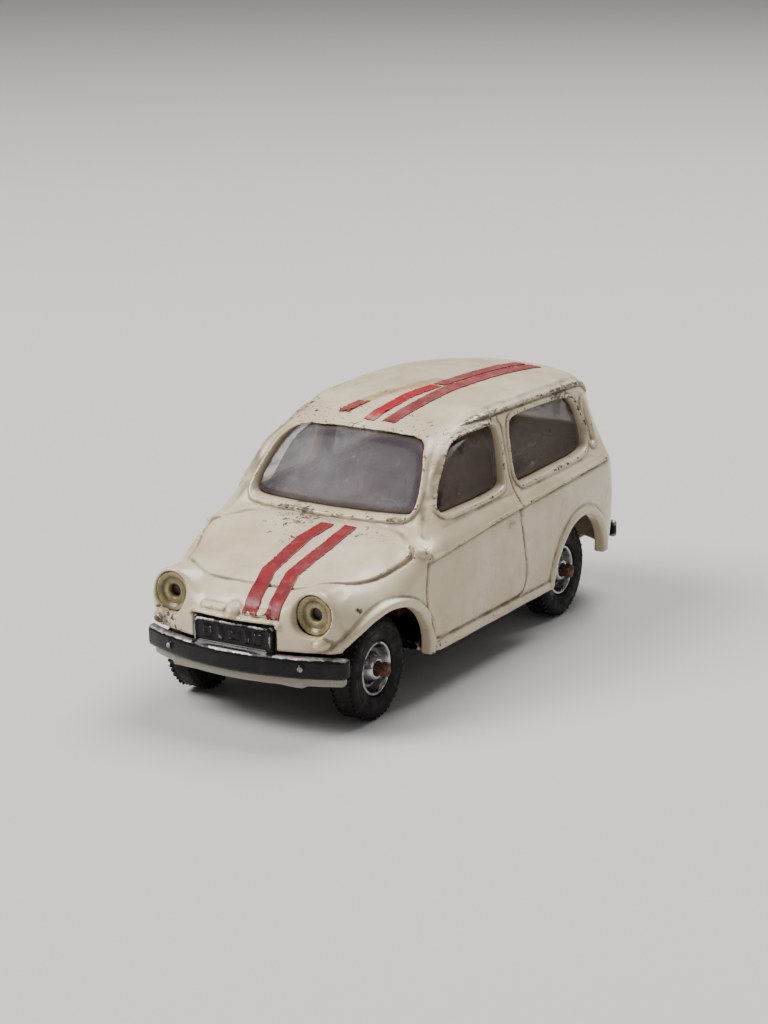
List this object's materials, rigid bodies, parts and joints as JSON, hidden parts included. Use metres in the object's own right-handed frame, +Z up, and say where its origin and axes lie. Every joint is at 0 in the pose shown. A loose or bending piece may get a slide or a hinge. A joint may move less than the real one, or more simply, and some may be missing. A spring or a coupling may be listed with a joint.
{
  "type": "diecast toy estate car",
  "caption": "Diecast collector model of a small rounded two-door estate car: cast shell on a riveted base, glazing, cabin tray and free-rolling wheels on pinned axles.",
  "frame": {"origin": "middle of the bounding box, on the ground under the tyres", "axes": "+X to the car's left side, +Y to the tail (the nose faces -Y), +Z up"},
  "size_m": [0.0304, 0.0736, 0.0319],
  "materials": {
    "cream_paint": "aged gloss cream enamel on zinc casting, chipped on edges",
    "black_paint": "black enamel worn to grey metal on the bumper edges",
    "clear_tint": "hazy clear plastic with a slight lilac tint",
    "rose_plastic": "rose red moulded plastic",
    "dark_plastic": "black moulded plastic",
    "lamp_plastic": "yellowed translucent plastic",
    "rusty_steel": "plain steel pin, rusted on the peened ends",
    "dark_chrome": "worn plated metal",
    "rivet_metal": "peened soft metal",
    "tyre_rubber": "black rubber with a ribbed tread",
    "red_tape": "red vinyl tape, cut by hand",
    "dusty_tape": "faded dusty red vinyl tape"
  },
  "bodies": {
    "car_body": {"body_shell": "cream_paint", "base_plate": "black_paint", "window_unit": "clear_tint", "interior_tray": "rose_plastic", "steering_wheel": "dark_plastic", "headlamp_insert_left": "lamp_plastic", "headlamp_insert_right": "lamp_plastic", "front_rivet": "rivet_metal", "rear_rivet": "rivet_metal", "bonnet_tape_left": "red_tape", "bonnet_tape_right": "red_tape", "roof_tape_bright": "red_tape", "roof_tape_left": "dusty_tape", "roof_tape_rear": "dusty_tape", "roof_tape_remnant": "dusty_tape"},
    "front_axle_pin": {"front_axle": "rusty_steel"},
    "rear_axle_pin": {"rear_axle": "rusty_steel"},
    "front_left_wheel": {"front_left_hub": "dark_chrome", "front_left_tyre": "tyre_rubber"},
    "front_right_wheel": {"front_right_hub": "dark_chrome", "front_right_tyre": "tyre_rubber"},
    "rear_left_wheel": {"rear_left_hub": "dark_chrome", "rear_left_tyre": "tyre_rubber"},
    "rear_right_wheel": {"rear_right_hub": "dark_chrome", "rear_right_tyre": "tyre_rubber"}
  },
  "joints": [
    {"name": "front_axle_turn", "type": "hinge", "parent": "car_body", "child": "front_axle_pin", "pos_m": [0, -0.0252, 0.006], "axis": [1, 0, 0], "continuous": true},
    {"name": "front_left_wheel_turn", "type": "hinge", "parent": "front_axle_pin", "child": "front_left_wheel", "pos_m": [0.011, -0.0252, 0.006], "axis": [1, 0, 0], "continuous": true},
    {"name": "front_right_wheel_turn", "type": "hinge", "parent": "front_axle_pin", "child": "front_right_wheel", "pos_m": [-0.011, -0.0252, 0.006], "axis": [1, 0, 0], "continuous": true},
    {"name": "rear_axle_turn", "type": "hinge", "parent": "car_body", "child": "rear_axle_pin", "pos_m": [0, 0.0201, 0.006], "axis": [1, 0, 0], "continuous": true},
    {"name": "rear_left_wheel_turn", "type": "hinge", "parent": "rear_axle_pin", "child": "rear_left_wheel", "pos_m": [0.011, 0.0201, 0.006], "axis": [1, 0, 0], "continuous": true},
    {"name": "rear_right_wheel_turn", "type": "hinge", "parent": "rear_axle_pin", "child": "rear_right_wheel", "pos_m": [-0.011, 0.0201, 0.006], "axis": [1, 0, 0], "continuous": true}
  ]
}
